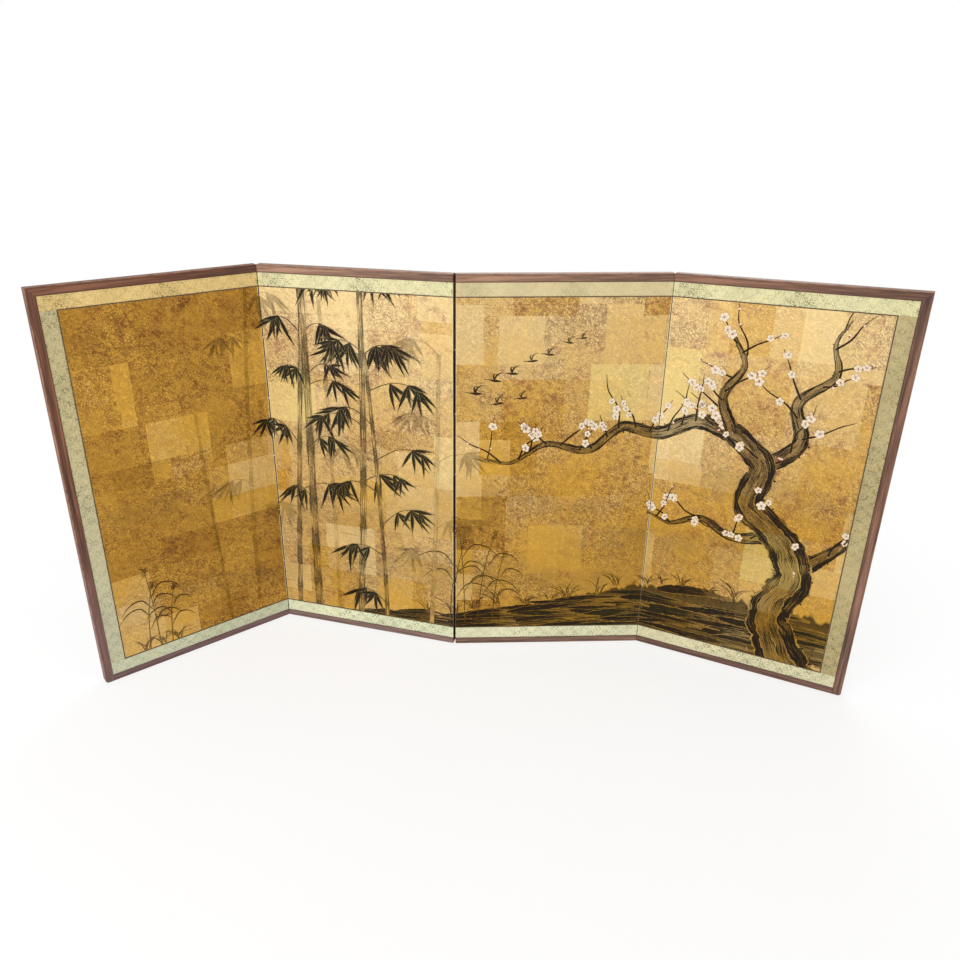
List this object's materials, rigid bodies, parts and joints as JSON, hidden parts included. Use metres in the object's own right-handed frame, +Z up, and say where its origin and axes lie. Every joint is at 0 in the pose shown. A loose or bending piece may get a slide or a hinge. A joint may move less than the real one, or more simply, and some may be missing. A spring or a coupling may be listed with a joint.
{
  "type": "folding screen",
  "caption": "Free-standing folding screen of hinged lattice-core panels, with painted paper faces, brocade borders and wood mouldings.",
  "frame": {"origin": "on the floor, at the middle of the standing screen's footprint", "axes": "+X along the screen from its left end to its right end as seen from the front, +Y from front to back, +Z up"},
  "size_m": [1.7176, 0.3258, 0.9144],
  "materials": {
    "moulding_wood": "satin stain",
    "core_wood": "bare",
    "painted_paper": "metal leaf",
    "back_paper": "matte",
    "brocade": "woven",
    "dark_fillet": "matte",
    "hinge_cloth": "matte",
    "steel_nail": "bright"
  },
  "bodies": {
    "panel_1": {"fold_12_hinge_strips_on_panel_1": "hinge_cloth", "panel_1_back_paper": "back_paper", "panel_1_core_rails": "core_wood", "panel_1_core_stiles": "core_wood", "panel_1_fillets": "dark_fillet", "panel_1_foot_brocade": "brocade", "panel_1_foot_moulding": "moulding_wood", "panel_1_front_paper": "painted_paper", "panel_1_lattice_crossbars": "core_wood", "panel_1_lattice_uprights": "core_wood", "panel_1_moulding_nails": "steel_nail", "panel_1_side_brocade": "brocade", "panel_1_side_moulding": "moulding_wood", "panel_1_top_brocade": "brocade", "panel_1_top_moulding": "moulding_wood"},
    "panel_2": {"fold_12_hinge_strips_on_panel_2": "hinge_cloth", "fold_23_hinge_strips_on_panel_2": "hinge_cloth", "panel_2_back_paper": "back_paper", "panel_2_core_rails": "core_wood", "panel_2_core_stiles": "core_wood", "panel_2_fillets": "dark_fillet", "panel_2_foot_brocade": "brocade", "panel_2_foot_moulding": "moulding_wood", "panel_2_front_paper": "painted_paper", "panel_2_lattice_crossbars": "core_wood", "panel_2_lattice_uprights": "core_wood", "panel_2_moulding_nails": "steel_nail", "panel_2_top_brocade": "brocade", "panel_2_top_moulding": "moulding_wood"},
    "panel_3": {"fold_23_hinge_strips_on_panel_3": "hinge_cloth", "fold_34_hinge_strips_on_panel_3": "hinge_cloth", "panel_3_back_paper": "back_paper", "panel_3_core_rails": "core_wood", "panel_3_core_stiles": "core_wood", "panel_3_fillets": "dark_fillet", "panel_3_foot_brocade": "brocade", "panel_3_foot_moulding": "moulding_wood", "panel_3_front_paper": "painted_paper", "panel_3_lattice_crossbars": "core_wood", "panel_3_lattice_uprights": "core_wood", "panel_3_moulding_nails": "steel_nail", "panel_3_top_brocade": "brocade", "panel_3_top_moulding": "moulding_wood"},
    "panel_4": {"fold_34_hinge_strips_on_panel_4": "hinge_cloth", "panel_4_back_paper": "back_paper", "panel_4_core_rails": "core_wood", "panel_4_core_stiles": "core_wood", "panel_4_fillets": "dark_fillet", "panel_4_foot_brocade": "brocade", "panel_4_foot_moulding": "moulding_wood", "panel_4_front_paper": "painted_paper", "panel_4_lattice_crossbars": "core_wood", "panel_4_lattice_uprights": "core_wood", "panel_4_moulding_nails": "steel_nail", "panel_4_side_brocade": "brocade", "panel_4_side_moulding": "moulding_wood", "panel_4_top_brocade": "brocade", "panel_4_top_moulding": "moulding_wood"}
  },
  "joints": [
    {"name": "fold_12", "type": "hinge", "parent": "panel_2", "child": "panel_1", "pos_m": [-0.48192, 0.14472, 0], "axis": [0, 0, 1], "range_deg": [-55.5, 124.5]},
    {"name": "fold_23", "type": "hinge", "parent": "panel_2", "child": "panel_3", "pos_m": [-0.03561, 0.04097, 0], "axis": [0, 0, 1], "range_deg": [-18.5, 161.5]},
    {"name": "fold_34", "type": "hinge", "parent": "panel_3", "child": "panel_4", "pos_m": [0.42257, 0.04566, 0], "axis": [0, 0, -1], "range_deg": [-29, 148.4]}
  ]
}
